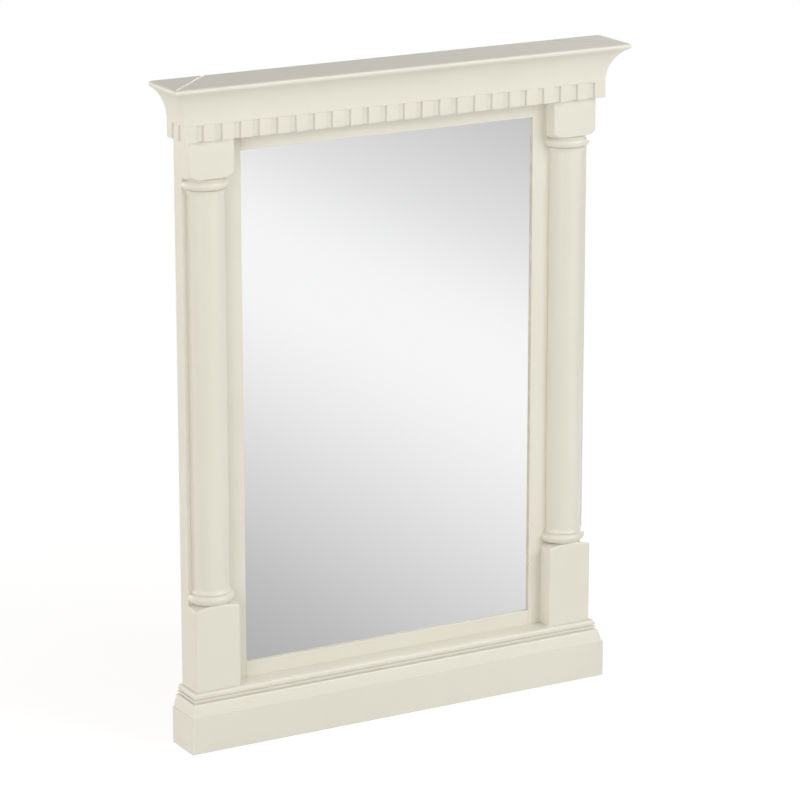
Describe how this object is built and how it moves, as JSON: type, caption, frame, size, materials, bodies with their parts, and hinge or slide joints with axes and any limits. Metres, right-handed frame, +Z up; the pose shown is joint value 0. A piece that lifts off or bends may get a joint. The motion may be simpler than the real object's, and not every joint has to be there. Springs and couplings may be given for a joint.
{
  "type": "bathroom mirror",
  "caption": "Painted wooden wall mirror with half columns, dentil course, coved cornice and moulded plinth; turn buttons hold the backing, keyhole plates hang it on a wall.",
  "frame": {"origin": "middle of the bounding box at its bottom, which is the underside of the plinth", "axes": "+X to the right seen from the front, +Y back to the wall (the front faces -Y), +Z up"},
  "size_m": [0.69, 0.079, 0.914],
  "materials": {
    "ivory_paint": "satin ivory paint",
    "raw_wood": "unfinished beech",
    "hardboard": "smooth brown hardboard",
    "mirror_silver": "silvered flat glass",
    "zinc_steel": "bright zinc",
    "button_brass": "brass plated",
    "setting_rubber": "matt"
  },
  "bodies": {
    "mirror_frame": {"left_stile": "ivory_paint", "right_stile": "ivory_paint", "top_rail": "ivory_paint", "bottom_rail": "ivory_paint", "frame_dowels": "raw_wood", "left_base_block": "ivory_paint", "right_base_block": "ivory_paint", "left_shaft": "ivory_paint", "right_shaft": "ivory_paint", "left_cap_block": "ivory_paint", "right_cap_block": "ivory_paint", "column_dowels": "raw_wood", "plinth_core": "ivory_paint", "plinth_front": "ivory_paint", "plinth_left_return": "ivory_paint", "plinth_right_return": "ivory_paint", "frieze_core": "ivory_paint", "dentil_front": "ivory_paint", "dentil_left_return": "ivory_paint", "dentil_right_return": "ivory_paint", "cornice_front": "ivory_paint", "cornice_left_return": "ivory_paint", "cornice_right_return": "ivory_paint", "cornice_splines": "raw_wood", "cornice_dowels": "raw_wood", "rear_screws": "zinc_steel", "mirror_glass": "mirror_silver", "backing_board": "hardboard", "setting_blocks": "setting_rubber", "button_screws": "zinc_steel", "left_hanger_plate": "zinc_steel", "right_hanger_plate": "zinc_steel", "hanger_screws": "zinc_steel"},
    "button_left_low": {"turn_button_left_low": "button_brass"},
    "button_left_high": {"turn_button_left_high": "button_brass"},
    "button_top_left": {"turn_button_top_left": "button_brass"},
    "button_top_right": {"turn_button_top_right": "button_brass"},
    "button_right_high": {"turn_button_right_high": "button_brass"},
    "button_right_low": {"turn_button_right_low": "button_brass"},
    "button_bottom_right": {"turn_button_bottom_right": "button_brass"},
    "button_bottom_left": {"turn_button_bottom_left": "button_brass"}
  },
  "joints": [
    {"name": "button_left_low_turn", "type": "hinge", "parent": "mirror_frame", "child": "button_left_low", "pos_m": [-0.243, 0.0324, 0.25942], "axis": [0, 1, 0], "range_deg": [-105, 105]},
    {"name": "button_left_high_turn", "type": "hinge", "parent": "mirror_frame", "child": "button_left_high", "pos_m": [-0.243, 0.0324, 0.65758], "axis": [0, 1, 0], "range_deg": [-105, 105]},
    {"name": "button_top_left_turn", "type": "hinge", "parent": "mirror_frame", "child": "button_top_left", "pos_m": [-0.112, 0.0324, 0.833], "axis": [0, 1, 0], "range_deg": [-105, 105]},
    {"name": "button_top_right_turn", "type": "hinge", "parent": "mirror_frame", "child": "button_top_right", "pos_m": [0.112, 0.0324, 0.833], "axis": [0, 1, 0], "range_deg": [-105, 105]},
    {"name": "button_right_high_turn", "type": "hinge", "parent": "mirror_frame", "child": "button_right_high", "pos_m": [0.243, 0.0324, 0.65758], "axis": [0, 1, 0], "range_deg": [-105, 105]},
    {"name": "button_right_low_turn", "type": "hinge", "parent": "mirror_frame", "child": "button_right_low", "pos_m": [0.243, 0.0324, 0.25942], "axis": [0, 1, 0], "range_deg": [-105, 105]},
    {"name": "button_bottom_right_turn", "type": "hinge", "parent": "mirror_frame", "child": "button_bottom_right", "pos_m": [0.112, 0.0324, 0.084], "axis": [0, 1, 0], "range_deg": [-105, 105]},
    {"name": "button_bottom_left_turn", "type": "hinge", "parent": "mirror_frame", "child": "button_bottom_left", "pos_m": [-0.112, 0.0324, 0.084], "axis": [0, 1, 0], "range_deg": [-105, 105]}
  ]
}
